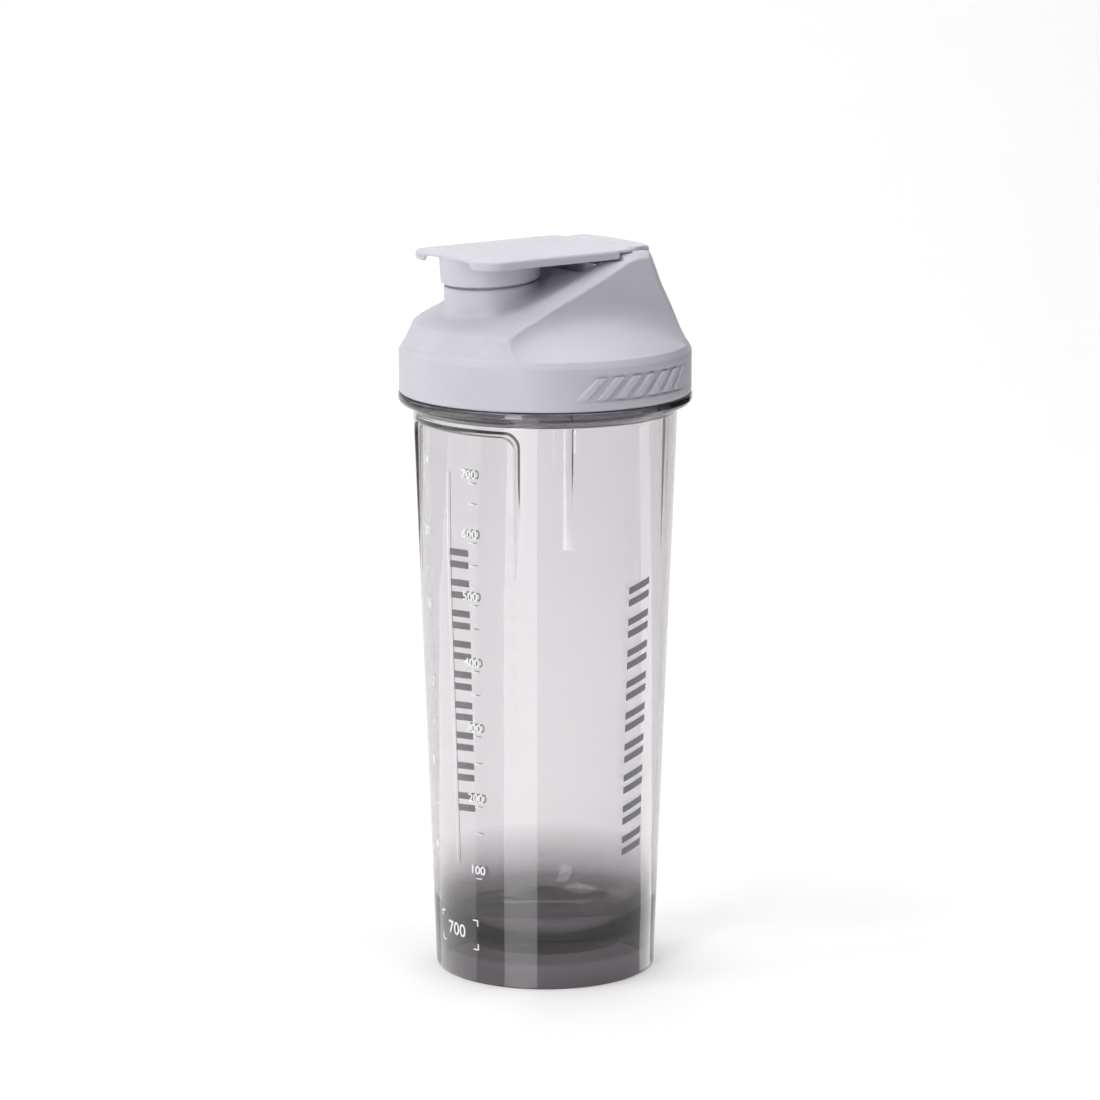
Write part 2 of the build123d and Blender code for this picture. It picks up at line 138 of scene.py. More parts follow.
def surface(f, lo, hi, h, name, steps=4):
    """Closed quad mesh of the surface f = 0 (f < 0 inside), as a surface net whose points are then moved onto the surface."""
    n = [int(math.ceil((hi[a] - lo[a]) / h)) + 1 for a in range(3)]
    ax = [(lo[a] + h * np.arange(n[a])).astype(np.float32) for a in range(3)]
    V = np.empty(n, np.float32)
    for i in range(0, n[0], 12):
        j = min(n[0], i + 12)
        X, Y, Z = np.meshgrid(ax[0][i:j], ax[1], ax[2], indexing="ij")
        V[i:j] = f(X.ravel(), Y.ravel(), Z.ravel()).reshape(X.shape)
    S = V < 0
    c = np.zeros([m - 1 for m in n], np.int8)
    for a in (0, 1):
        for b in (0, 1):
            for d in (0, 1):
                c += S[a:n[0] - 1 + a, b:n[1] - 1 + b, d:n[2] - 1 + d]
    I, J, K = np.nonzero((c > 0) & (c < 8))
    index = np.full(c.shape, -1, np.int32)
    index[I, J, K] = np.arange(len(I))
    acc = np.zeros((len(I), 3))
    cnt = np.zeros(len(I))
    for axis in range(3):
        for a in (0, 1):
            for b in (0, 1):
                off = [0, 0, 0]
                oth = [q for q in range(3) if q != axis]
                off[oth[0]], off[oth[1]] = a, b
                v0 = V[I + off[0], J + off[1], K + off[2]]
                off2 = list(off)
                off2[axis] = 1
                v1 = V[I + off2[0], J + off2[1], K + off2[2]]
                m = (v0 < 0) != (v1 < 0)
                t = np.where(m, v0 / np.where(m, v0 - v1, 1), 0)
                p = np.zeros((len(I), 3))
                p[:, axis] = t
                p[:, oth[0]] = a
                p[:, oth[1]] = b
                acc += p * m[:, None]
                cnt += m
    P = acc / cnt[:, None]
    P[:, 0] = lo[0] + h * (I + P[:, 0])
    P[:, 1] = lo[1] + h * (J + P[:, 1])
    P[:, 2] = lo[2] + h * (K + P[:, 2])
    quads = []
    for axis in range(3):
        u, w = [(1, 2), (2, 0), (0, 1)][axis]
        sl0 = [slice(1, m - 1) for m in n]
        sl1 = [slice(1, m - 1) for m in n]
        sl0[axis] = slice(0, n[axis] - 1)
        sl1[axis] = slice(1, n[axis])
        s0, s1 = S[tuple(sl0)], S[tuple(sl1)]
        for inside_first in (True, False):
            hit = np.argwhere(s0 & ~s1) if inside_first else np.argwhere(~s0 & s1)
            if not len(hit):
                continue
            base = hit.copy()
            base[:, u] += 1
            base[:, w] += 1
            q = []
            for du, dw in ((-1, -1), (0, -1), (0, 0), (-1, 0)):
                cell = base.copy()
                cell[:, u] += du
                cell[:, w] += dw
                q.append(index[cell[:, 0], cell[:, 1], cell[:, 2]])
            q = np.stack(q, 1)
            quads.append(q if inside_first else q[:, ::-1])
    Q = np.concatenate(quads)
    e = 0.04
    for k in range(steps):
        f0 = f(P[:, 0], P[:, 1], P[:, 2])
        g = np.stack([
            f(P[:, 0] + e, P[:, 1], P[:, 2]) - f(P[:, 0] - e, P[:, 1], P[:, 2]),
            f(P[:, 0], P[:, 1] + e, P[:, 2]) - f(P[:, 0], P[:, 1] - e, P[:, 2]),
            f(P[:, 0], P[:, 1], P[:, 2] + e) - f(P[:, 0], P[:, 1], P[:, 2] - e)], 1) / (2 * e)
        gg = np.maximum((g * g).sum(1), 0.15)
        mv = -(f0 / gg)[:, None] * g
        ln = np.linalg.norm(mv, axis=1)
        mv *= np.minimum(1, 0.5 * h / np.maximum(ln, 1e-9))[:, None]
        P = P + mv
        if k < steps - 1:
            # even out the points along the surface
            s = np.zeros_like(P)
            m = np.zeros(len(P))
            for a, b in ((0, 1), (1, 2), (2, 3), (3, 0)):
                np.add.at(s, Q[:, a], P[Q[:, b]])
                np.add.at(s, Q[:, b], P[Q[:, a]])
                np.add.at(m, Q[:, a], 1)
                np.add.at(m, Q[:, b], 1)
            P = P + 0.45 * (s / np.maximum(m, 1)[:, None] - P)
    me = bpy.data.meshes.new(name)
    me.vertices.add(len(P))
    me.vertices.foreach_set("co", (P * MM).astype(np.float32).ravel())
    me.loops.add(Q.size)
    me.loops.foreach_set("vertex_index", Q.astype(np.int32).ravel())
    me.polygons.add(len(Q))
    me.polygons.foreach_set("loop_start", np.arange(0, Q.size, 4, dtype=np.int32))
    me.polygons.foreach_set("loop_total", np.full(len(Q), 4, np.int32))
    me.update(calc_edges=True)
    me.validate()
    me.shade_smooth()
    ob = bpy.data.objects.new(name, me)
    coll.objects.link(ob)
    return ob


def lathe(rows, az, name, radius=None, transform=None, closed=True):
    """Closed mesh turned about +Z from rows of (r, z, tag). radius(r, z, tag, azimuths) may change r round the turn."""
    verts, faces, start = [], [], []
    n = len(az)
    ca, sa = np.sin(az), -np.cos(az)
    for r, z, tag in rows:
        start.append(len(verts))
        if r < 1e-6:
            verts.append((0.0, 0.0, z))
            continue
        rr = np.full(n, r) if radius is None else radius(r, z, tag, az)
        verts.extend(zip(rr * ca, rr * sa, np.full(n, z)))
    m = len(rows)
    for i in range(m if closed else m - 1):
        j = (i + 1) % m
        a0, b0 = rows[i][0] < 1e-6, rows[j][0] < 1e-6
        if a0 and b0:
            continue
        for k in range(n):
            l = (k + 1) % n
            if a0:
                faces.append((start[i], start[j] + l, start[j] + k))
            elif b0:
                faces.append((start[i] + k, start[i] + l, start[j]))
            else:
                faces.append((start[i] + k, start[i] + l, start[j] + l, start[j] + k))
    me = bpy.data.meshes.new(name)
    me.from_pydata([(x * MM, y * MM, z * MM) for x, y, z in verts], [], faces)
    if transform is not None:
        me.transform(transform)
    me.update()
    me.shade_smooth()
    ob = bpy.data.objects.new(name, me)
    coll.objects.link(ob)
    return ob


def refine(pts, step, tag):
    """Rows along an open outline, no further apart than step."""
    out = []
    for (r0, z0), (r1, z1) in zip(pts[:-1], pts[1:]):
        L = math.hypot(r1 - r0, z1 - z0)
        s = step((z0 + z1) / 2) if callable(step) else step
        k = max(1, int(math.ceil(L / s)))
        for i in range(k):
            out.append((r0 + (r1 - r0) * i / k, z0 + (z1 - z0) * i / k, tag))
    return out


# ------------------------------------------------------------------ cup
def wall_r(z):
    return FOOT_R + TAPER * z


def panel_depth(az, z, grow=0.0, edge=0.45):
    """How far the wall is pushed in at a grip panel."""
    z = np.asarray(z, float) + 0 * az
    fade = np.clip((z - PANEL_END) / (PANEL_TOP - PANEL_END), 0, None)
    total = np.zeros_like(z)
    for c in (PANEL_AZ, PANEL_AZ + 180.0):
        d = (np.degrees(az) - c + 180.0) % 360.0 - 180.0
        u = np.abs(np.radians(d)) * 42.2
        qx = u - (PANEL_HALF + grow) + PANEL_ROUND
        qz = z - (PANEL_TOP + grow) + PANEL_ROUND
        sd = np.minimum(np.maximum(qx, qz), 0) + np.hypot(np.maximum(qx, 0), np.maximum(qz, 0)) - PANEL_ROUND
        total += smoothstep(edge, -edge, sd) * PANEL_DEPTH * fade
    return total


def outer_r(az, z):
    return wall_r(z) - panel_depth(az, z)


def ridge_height(az, z, z0, a0, turn, w0, w1):
    """0..1 height of a helical ridge that starts at height z0, angle a0 (degrees from +X), over turn degrees."""
    a = np.degrees(az) - 90.0
    h = np.zeros(np.broadcast(az, z).shape)
    t = (a - a0) % 360.0
    for wrap in (t, t - 360.0):
        zc = z0 + LEAD * wrap / 360.0
        live = smoothstep(-4, 8, wrap) * smoothstep(turn + 4, turn - 8, wrap)
        d = np.abs(z - zc)
        h = np.maximum(h, np.clip((w0 / 2 - d) / (w0 / 2 - w1 / 2), 0, 1) * live)
    return h


def cup_radius(r, z, tag, az):
    if tag == "out":
        return r - panel_depth(az, z)
    if tag == "in":
        return r - panel_depth(az, z, grow=1.1, edge=0.9)
    if tag == "neck":
        h = np.maximum(ridge_height(az, z, 195.6, 20, 300, 1.9, 0.9), ridge_height(az, z, 195.6, 200, 300, 1.9, 0.9))
        return r + (44.95 - NECK_R) * h
    return np.full(len(az), r)


def cup_mesh():
    bx, bz = wall_r(FLOOR_Z + BOWL_R) - WALL - BOWL_R, FLOOR_Z + BOWL_R
    ur = BOWL_R + FLOOR_T
    top = bz - math.sqrt(ur ** 2 - (SKIRT_IN_R + 0.2 - bx) ** 2)
    rows = [(0, FLOOR_Z - FLOOR_T, "n")]
    rows += refine([(0.5, FLOOR_Z - FLOOR_T), (bx, bz - ur)], 2.5, "n")
    a1 = math.asin((SKIRT_IN_R + 0.2 - bx) / ur)
    arc = [(bx + ur * math.sin(a1 * k / 14), bz - ur * math.cos(a1 * k / 14)) for k in range(15)]
    rows += [(r, z, "n") for r, z in arc[:-1]]
    skirt = rounded([(SKIRT_IN_R + 0.2 - 2.0, top - 2.4), (SKIRT_IN_R + 0.2, top + 0.2, 1.0), (SKIRT_IN_R + 0.02, 3.0), (20, 3)], 5)[1:7]
    rows += [(r, z, "n") for r, z in skirt]
    rows += refine([(SKIRT_IN_R + 0.17, top - 2.0), (SKIRT_IN_R, 0.7)], 2.5, "n")[0:]
    foot = rounded([(SKIRT_IN_R, 2.0), (SKIRT_IN_R, 0.0, 0.35), (wall_r(0), 0.0, 1.0), (wall_r(2.2), 2.2)], 6)
    rows += [(r, z, "n") for r, z in foot[1:-1]]
    zstep = lambda z: 0.32 if z > 176.5 else (2.0 if z > 128 else 5.0)
    rows += refine([(wall_r(2.2), 2.2), (wall_r(60), 60), (wall_r(128), 128), (wall_r(176.5), 176.5), (wall_r(185.2), 185.2)], zstep, "out")
    fl = rounded([(wall_r(185.2), 185.2), (wall_r(187.2), 187.2, 2.2), (FLANGE_R - 0.6, FLANGE_Z0 - 0.4, 0.8), (FLANGE_R, FLANGE_Z0 + 0.6, 0.5),
                  (FLANGE_R, FLANGE_Z1, 0.6), (NECK_R, FLANGE_Z1, 0.5), (NECK_R, 193.4)], 6)
    rows += [(r, z, "n") for r, z in fl[:-1]]
    rows += refine([(NECK_R, 193.4), (NECK_R, 202.2)], 0.26, "neck")
    rim = rounded([(NECK_R, 202.2), (NECK_R, RIM_Z, 0.7), (NECK_IN_R, RIM_Z, 0.7), (NECK_IN_R, 202.0)], 6)
    rows += [(r, z, "n") for r, z in rim]
    inn = rounded([(NECK_IN_R, 202.0), (NECK_IN_R, 190.5, 6.0), (wall_r(187.0) - WALL, 187.0, 6.0), (wall_r(185.4) - WALL, 185.4)], 8)
    rows += [(r, z, "n") for r, z in inn[1:-1]]
    w = WALL
    rows += refine([(wall_r(185.4) - w, 185.4), (wall_r(176) - w, 176), (wall_r(128) - w, 128), (wall_r(60) - w, 60), (wall_r(bz) - w, bz)],
                   lambda z: 0.4 if z > 175.9 else (2.0 if z > 128 else 5.0), "in")
    bowl = [(bx + BOWL_R * math.cos(math.radians(q)), bz - BOWL_R * math.sin(math.radians(q))) for q in np.linspace(0, 90, 25)]
    rows += [(r, z, "n") for r, z in bowl]
    rows += refine([(bx - 1, FLOOR_Z), (0.5, FLOOR_Z)], 2.5, "n")
    rows += [(0, FLOOR_Z, "n")]
    az = []
    for c in (PANEL_AZ, PANEL_AZ + 180):
        a = c - 90.0
        while a < c + 90.0 - 1e-6:
            az.append(a)
            d = abs(a + 0.5 - c)
            a += 0.42 if 25.5 < d < 36.5 else 1.0
    return lathe(rows, np.radians(np.array(az)), "cup_body", cup_radius)


# ------------------------------------------------------------------ lid
S_SHELL = Turned([
    (0, LID_Z0), (LID_R - 0.3, LID_Z0, 0.3), (LID_R, LID_Z0 + 1.0, 0.6), (LID_R, 206.0, 0.5), (46.4, 208.2, 0.9),
    (40.0, 212.3, 30), (32.0, 215.4, 30), (24.0, 217.2, 20), (0, 218.5)])
S_TOWER = Turned([
    (0, 200), (46.6, 200), (47.0, 206.2, 1.0), (45.9, 208.7, 3.0), (43.7, 213.0, 10), (40.7, 220.5, 10),
    (37.4, 227.8, 12), (35.7, 232.8, 8), (33.6, 238.4, 3.2), (0, 238.4)])
S_FRONT = Turned([
    (0, 190), (60, 190), (60, 205.5), (47.3, 205.5), (46.6, 206.8, 2), (44.1, 210.0, 4), (42.2, 215.2, 1.2), (40.4, 216.6, 3),
    (36.9, 218.7, 10), (34.3, 220.0, 10), (23.0, 229.6), (0, 240)])
S_HOLLOW = Turned([
    (0, 181), (45.3, 181), (45.3, 202.0), (44.8, 202.6), (44.8, 205.4), (41.0, 205.4), (40.6, 206.6, 0.5),
    (36.0, 210.4, 8), (28.0, 213.4, 8), (18.0, 214.9), (0, 214.9)])
S_CORE = Turned([(0, 200), (43.5, 200), (42.4, 208.7), (40.2, 213.0), (37.2, 220.5), (36.6, 221.8), (0, 221.8)])
S_CORE_FRONT = Turned([(0, 190), (60, 190), (60, 203), (44.0, 203), (40.6, 210.0), (38.8, 213.4), (34.0, 216.0), (31.5, 217.0),
                       (23.0, 224.5), (0, 232)])
S_COLLAR = Turned([(38.0, 197.8, 0.4), (39.6, 197.8, 0.4), (39.6, 209.5), (38.0, 211.0)])

ridge_pts = np.array([(-33.2, 217.0), (-22.0, 220.3), (-12.3, 223.9), (-4.0, 227.0), (3.9, 230.2), (10.0, 232.9), (16.0, 235.6)])
ridge_fit = np.polyfit(ridge_pts[:, 0], ridge_pts[:, 1], 3)


def ridge_line(y):
    q = np.polyval(ridge_fit, np.clip(y, -40, 22))
    return smin(q, 236.3 + 0 * y, 1.6)


ct, st = math.cos(math.radians(SPOUT_TILT)), math.sin(math.radians(SPOUT_TILT))


def spout_coords(x, y, z):
    dy, dz = y - SPOUT_Y, z - SPOUT_REF
    s = -dy * st + dz * ct
    q = dy * ct + dz * st
    return s, np.hypot(x, q)


def lid_f(x, y, z):
    ax, r = np.abs(x), np.hypot(x, y)
    shell = S_SHELL(r, z)
    zo = ridge_line(y)
    zi = smin(zo + BEVEL_H, 238.1 + 0 * zo, 0.7)
    side = SIDE_X - SIDE_DRAFT * (z - 224.0)
    g_side = (ax - side) * 0.994
    g_top = (z - zi) * 0.93
    g_bev = ((z - zo) - BEVEL_H / BEVEL_W * (side - ax)) * 0.76
    tower = smax(g_top, g_bev, 0.5)
    tower = smax(tower, g_side, 0.5)
    tower = smax(tower, S_TOWER(r, z), 0.8)
    front = S_FRONT(r, z) - 30.0 * smoothstep(-13.0, -6.0, y)
    tower = smax(tower, front, 1.0)
    k = 0.4 + 7.0 * smoothstep(-7.0, -1.5, g_side) * smoothstep(206.5, 209.5, z)
    k = k + 6.0 * (1 - smoothstep(-9.0, -3.0, g_side)) * (1 - smoothstep(-20.0, -8.0, y))
    body = smin(shell, tower, k)
    body = np.maximum(body, np.minimum(shell, S_TOWER(r, z)) - 0.05)
    s, q = spout_coords(x, y, z)
    neck = smax(q - SPOUT_R, s - (SPOUT_STEP_Z - SPOUT_REF), 1.0)
    mouth = smax(q - SPOUT_TOP_R, s - (SPOUT_TOP_Z - SPOUT_REF), 0.9)
    neck = smin(neck, mouth, 0.5)
    neck = np.maximum(neck, 216.0 - z)
    body = smin(body, neck, 2.4)
    # grip bars
    azd = np.degrees(np.arctan2(ax, -y))
    bars = np.full(x.shape, 9.0, np.float32)
    for i in range(7):
        u = np.radians(azd - (67.3 + 7.9 * i + 2.0 + 4.0)) * 48.1
        v = z - 199.65
        t = (u - 1.034 * v) * 0.695
        b = smax(np.abs(t) - 1.17, np.abs(v) - 3.25, 0.25)
        bars = np.minimum(bars, b)
    bars = smax(bars, r - 48.08, 0.18)
    bars = np.maximum(bars, 46.6 - r)
    fade = smoothstep(64.0, 84.0, azd) * (1 - smoothstep(112.0, 132.0, azd))
    body = smax(body, -np.maximum(np.abs(z - 199.65) - 4.1, 47.65 - 0.6 * fade - r), 0.2)
    body = smin(body, bars, 0.12)
    # hinge pocket and notch
    body = smax(body, -smax(smax(ax - 23.3, y - 14.8, 1.2), 235.75 - z, 0.6), 0.7)
    notch = smax(smax(ax - 17.5, 2.2 - y, 1.5), smax(y - 21.0, 224.6 - z, 1.5), 1.5)
    notch2 = smax(smax(ax - 17.5, 15.0 - y, 1.5), 226.0 - z, 1.5)
    body = smax(body, -np.minimum(notch, notch2), 0.7)
    # inside
    ang = np.arctan2(x, -y)
    th = np.maximum(ridge_height(ang, z, 194.1, 200, 200, 1.7, 0.7), ridge_height(ang, z, 194.1, 20, 200, 1.7, 0.7))
    void = S_HOLLOW(np.where(r > 42.5, r + (45.3 - 43.75) * th, r), z)
    core = np.maximum(np.maximum(S_CORE(r, z), (z - zo) * 0.93), g_side + 3.0)
    core = np.maximum(core, S_CORE_FRONT(r, z) - 30.0 * smoothstep(-13.0, -6.0, y))
    core = np.maximum(core, 204.0 - z)
    void = smin(void, core, 0.8)
    void = np.minimum(void, np.maximum(q - SPOUT_BORE_R, 206.0 - z))
    body = smax(body, -void, 0.6)
    return smin(body, S_COLLAR(r, z), 0.6)


# ------------------------------------------------------------------ flip arm
ca_, sa_ = math.cos(math.radians(0.45)), math.sin(math.radians(0.45))


def arm_f(x, y, z):
    ax = np.abs(x)
    dy, dz = y - HINGE_Y, z - HINGE_Z
    ly = dy * ca_ + dz * sa_
    lz = -dy * sa_ + dz * ca_
    py = ly + HINGE_Y
    cy, hy = (-38.6 + 14.2) / 2, (14.2 + 38.6) / 2
    rr = np.where(py < cy, 7.5, 1.6)
    qx, qy = ax - 22.8 + rr, np.abs(py - cy) - hy + rr
    d_front = np.minimum(np.maximum(qx, qy), 0) + np.hypot(np.maximum(qx, 0), np.maximum(qy, 0)) - rr
    d_tongue = smax(smax(ax - 17.2, np.hypot(x, py) - 33.7, 1.5), 4.0 - py, 0.3)
    d = smin(d_front, d_tongue, 1.2)
    top, rim = 4.6, 1.7
    plate = smax(d, lz - top, 1.1 + 3.4 * smoothstep(27.0, 31.5, py))
    plate = smax(plate, rim - lz, 0.7)
    pocket = smax(d_front + 1.6, lz - (top - 1.4), 0.8)
    plate = smax(plate, -pocket, 0.6)
    arch = smax(smax(ax - 13.5, lz - (rim + 1.9), 2.2), py + 30.0, 0.5)
    plate = smax(plate, -arch, 0.7)
    knuckle = smax(np.hypot(ly, lz) - 4.2, ax - 17.2, 0.6)
    arm = smin(plate, knuckle, 2.5)
    rib = smax(smax(ax - 17.2, np.abs(py - 18.5) - 5.5, 1.0), np.abs(lz - 1.2) - 1.8, 1.0)
    arm = smin(arm, rib, 1.5)
    wing = smax(smax(smax(ax - 22.0, py - 20.5, 3.5), 8.0 - py, 0.3), lz - top, 0.9)
    wing = smax(wing, 3.5 - lz, 0.3)
    arm = smin(arm, wing, 0.4)
    arm = smax(arm, np.where(py > 0, np.hypot(x, py) - 33.7, -20.0), 0.3)
    s, q = spout_coords(x, y, z)
    cap = smax(np.abs(q - 15.1) - 0.9, np.maximum(-1.0 - s, lz - (top - 0.9)), 0.5)
    arm = smin(arm, cap, 0.9)
    spigot = smax(np.abs(q - 9.7) - 0.9, np.maximum(0.3 - s, s - 5.4), 0.4)
    arm = smin(arm, spigot, 0.7)
    dim = np.sqrt((x - 7.0) ** 2 + (py - 21.0) ** 2 + (lz - (top + 1.25)) ** 2) - 1.6
    arm = smax(arm, lz - top, 0.04)
    arm = smax(arm, -dim, 0.25)
    pip = np.sqrt((x + 15.0) ** 2 + (py + 38.9) ** 2 + (lz - 3.1) ** 2) - 0.8
    return smax(arm, -pip, 0.15)


# ------------------------------------------------------------------ materials
def material(name):
    m = bpy.data.materials.new(name)
    m.use_nodes = True
    nt = m.node_tree
    p = nt.nodes["Principled BSDF"]
    out = nt.nodes["Material Output"]
    return m, nt, p, out


def coords(nt, scale=(1, 1, 1)):
    tc = nt.nodes.new("ShaderNodeTexCoord")
    mp = nt.nodes.new("ShaderNodeMapping")
    mp.inputs["Scale"].default_value = scale
    nt.links.new(tc.outputs["Object"], mp.inputs["Vector"])
    return mp.outputs["Vector"]


def noise(nt, vec, scale, detail=2.0, rough=0.5):
    n = nt.nodes.new("ShaderNodeTexNoise")
    n.inputs["Scale"].default_value = scale
    n.inputs["Detail"].default_value = detail
    n.inputs["Roughness"].default_value = rough
    nt.links.new(vec, n.inputs["Vector"])
    return n.outputs["Fac"]


def ramp(nt, fac, lo, hi, a=0.0, b=1.0):
    m = nt.nodes.new("ShaderNodeMapRange")
    m.inputs["From Min"].default_value = a
    m.inputs["From Max"].default_value = b
    m.inputs["To Min"].default_value = lo
    m.inputs["To Max"].default_value = hi
    nt.links.new(fac, m.inputs["Value"])
    return m.outputs["Result"]


def mixed(nt, fac, c0, c1):
    m = nt.nodes.new("ShaderNodeMix")
    m.data_type = "RGBA"
    nt.links.new(fac, m.inputs["Factor"])
    m.inputs[6].default_value = (*c0, 1)
    m.inputs[7].default_value = (*c1, 1)
    return m.outputs[2]


def bump(nt, height, strength, distance, normal=None):
    b = nt.nodes.new("ShaderNodeBump")
    b.inputs["Strength"].default_value = strength
    b.inputs["Distance"].default_value = distance
    nt.links.new(height, b.inputs["Height"])
    if normal is not None:
        nt.links.new(normal, b.inputs["Normal"])
    return b.outputs["Normal"]


def lin(r, g, b):
    f = lambda c: c / 12.92 if c <= 0.04045 else ((c + 0.055) / 1.055) ** 2.4
    return tuple(f(c / 255.0) for c in (r, g, b))


def moulded(name, col, rough=0.46, grain=1.0, spread=0.03):
    """Moulded plastic: eroded-tool grain, slight mottling of colour and gloss."""
    m, nt, p, out = material(name)
    v = coords(nt)
    big = noise(nt, v, 38.0, 3.0)
    mid = noise(nt, v, 900.0, 2.0)
    fine = noise(nt, v, 2600.0, 3.0, 0.6)
    c = np.array(col)
    nt.links.new(mixed(nt, ramp(nt, big, 0, 1, 0.3, 0.7), tuple(c * (1 - spread)), tuple(np.minimum(c * (1 + spread), 1))), p.inputs["Base Color"])
    nt.links.new(ramp(nt, mid, rough - 0.05, rough + 0.07, 0.3, 0.7), p.inputs["Roughness"])
    n1 = bump(nt, fine, 0.34 * grain, 0.00014)
    nt.links.new(bump(nt, mid, 0.12 * grain, 0.00025, n1), p.inputs["Normal"])
    p.inputs["Specular IOR Level"].default_value = 0.5
    p.inputs["IOR"].default_value = 1.49
    return m


def clear(name, density, tint, rough=0.006):
    """Clear copolyester with a smoky body tint: glass, absorption inside, faint flow waviness; its base colour carries
    painted shade at the foot band, the floor's ring and the neck.
    """
    m, nt, p, out = material(name)
    v = coords(nt, (1, 1, 0.35))
    wavy = noise(nt, v, 55.0, 2.0)
    dust = noise(nt, v, 420.0, 3.0)
    sep = nt.nodes.new("ShaderNodeSeparateXYZ")
    nt.links.new(v, sep.inputs["Vector"])
    # painted shade on the flange and neck under the lid: the base colour is darker above 188 to 190 mm
    top = ramp(nt, sep.outputs["Z"], 0.0, 1.0, 0.35 * 0.1880, 0.35 * 0.1900)
    body = nt.nodes.new("ShaderNodeMix")
    body.data_type = "RGBA"
    nt.links.new(top, body.inputs["Factor"])
    # painted shade: the base colour is darkened by height over the foot and the thick floor band, darkest from 9 to 19
    # mm, fading out by 38 mm
    foot_shade_ramp = nt.nodes.new("ShaderNodeValToRGB")
    stops = ((0.0, 0.25), (7.6, 0.25), (9.2, 0.16), (19.0, 0.17), (24.0, 0.46), (38.0, 1.0))
    while len(foot_shade_ramp.color_ramp.elements) < len(stops):
        foot_shade_ramp.color_ramp.elements.new(0.5)
    for e, (h, g) in zip(foot_shade_ramp.color_ramp.elements, stops):
        e.position = h / 50.0
        e.color = (g, g * 0.92 + 0.08 * g * g, g, 1)
    nt.links.new(ramp(nt, sep.outputs["Z"], 0.0, 1.0, 0.0, 0.35 * 0.050), foot_shade_ramp.inputs["Fac"])
    # painted shade on the thick ring round the floor: the flat middle of the floor is lighter than the ring
    flat = nt.nodes.new("ShaderNodeMapping")
    flat.inputs["Scale"].default_value = (1, 1, 0)
    nt.links.new(v, flat.inputs["Vector"])
    rad = nt.nodes.new("ShaderNodeVectorMath")
    rad.operation = "LENGTH"
    nt.links.new(flat.outputs["Vector"], rad.inputs[0])
    mid = nt.nodes.new("ShaderNodeMix")
    mid.data_type = "RGBA"
    nt.links.new(ramp(nt, rad.outputs["Value"], 1.0, 0.0, 0.0235, 0.0265), mid.inputs["Factor"])
    nt.links.new(foot_shade_ramp.outputs["Color"], mid.inputs[6])
    mid.inputs[7].default_value = (0.66, 0.64, 0.66, 1)
    nt.links.new(mid.outputs[2], body.inputs[6])
    body.inputs[7].default_value = (0.33, 0.325, 0.335, 1)
    nt.links.new(body.outputs[2], p.inputs["Base Color"])
    p.inputs["Transmission Weight"].default_value = 1.0
    p.inputs["IOR"].default_value = 1.54
    nt.links.new(ramp(nt, dust, rough * 0.5, rough * 1.8, 0.3, 0.75), p.inputs["Roughness"])
    nt.links.new(bump(nt, wavy, 0.05, 0.0006), p.inputs["Normal"])
    vol = nt.nodes.new("ShaderNodeVolumeAbsorption")
    vol.inputs["Color"].default_value = (*tint, 1)
    vol.inputs["Density"].default_value = density
    nt.links.new(vol.outputs["Volume"], out.inputs["Volume"])
    lp = nt.nodes.new("ShaderNodeLightPath")
    tr = nt.nodes.new("ShaderNodeBsdfTransparent")
    tr.inputs["Color"].default_value = (0.97, 0.97, 0.97, 1)
    mx = nt.nodes.new("ShaderNodeMixShader")
    nt.links.new(lp.outputs["Is Shadow Ray"], mx.inputs["Fac"])
    nt.links.new(p.outputs["BSDF"], mx.inputs[1])
    nt.links.new(tr.outputs["BSDF"], mx.inputs[2])
    nt.links.new(mx.outputs["Shader"], out.inputs["Surface"])
    return m


def ink(name, col, alpha=1.0):
    """Screen-printed ink, with the small density changes of the mesh; half transparent, it also makes the painted
    shadow of the print.
    """
    m, nt, p, out = material(name)
    v = coords(nt)
    n = noise(nt, v, 1500.0, 2.0)
    c = np.array(col)
    nt.links.new(mixed(nt, n, tuple(c * 0.9), tuple(np.minimum(c * 1.08, 1))), p.inputs["Base Color"])
    nt.links.new(ramp(nt, n, 0.35, 0.5), p.inputs["Roughness"])
    nt.links.new(bump(nt, n, 0.15, 0.00005), p.inputs["Normal"])
    if alpha < 1:
        p.inputs["Alpha"].default_value = alpha
    return m


def rubbery(name, col):
    m, nt, p, out = material(name)
    v = coords(nt)
    a, b = noise(nt, v, 60.0, 3.0), noise(nt, v, 2200.0, 2.0)
    c = np.array(col)
    nt.links.new(mixed(nt, a, tuple(c * 0.9), tuple(c * 1.1)), p.inputs["Base Color"])
    nt.links.new(ramp(nt, b, 0.55, 0.72), p.inputs["Roughness"])
    nt.links.new(bump(nt, b, 0.2, 0.0001), p.inputs["Normal"])
    p.inputs["Sheen Weight"].default_value = 0.15
    p.inputs["Sheen Roughness"].default_value = 0.5
    return m


def steel(name):
    m, nt, p, out = material(name)
    v = coords(nt, (0.05, 1, 1))
    a = noise(nt, v, 3000.0, 2.0)
    nt.links.new(mixed(nt, a, (0.50, 0.50, 0.51), (0.66, 0.66, 0.67)), p.inputs["Base Color"])
    nt.links.new(ramp(nt, a, 0.22, 0.38), p.inputs["Roughness"])
    nt.links.new(bump(nt, a, 0.1, 0.00003), p.inputs["Normal"])
    p.inputs["Metallic"].default_value = 1.0
    return m


LID_COL = lin(190, 188, 197)
mat_lid = moulded("lid_plastic_mat", LID_COL, 0.44)
mat_arm = moulded("arm_plastic_mat", LID_COL, 0.40, 0.8)
mat_grid = moulded("grid_plastic_mat", lin(190, 188, 196), 0.5)
mat_cup = clear("cup_clear_mat", 172.0, (0.34, 0.285, 0.34))
mat_white = ink("ink_white_mat", lin(240, 240, 242))
mat_grey = ink("ink_grey_mat", lin(118, 116, 124))
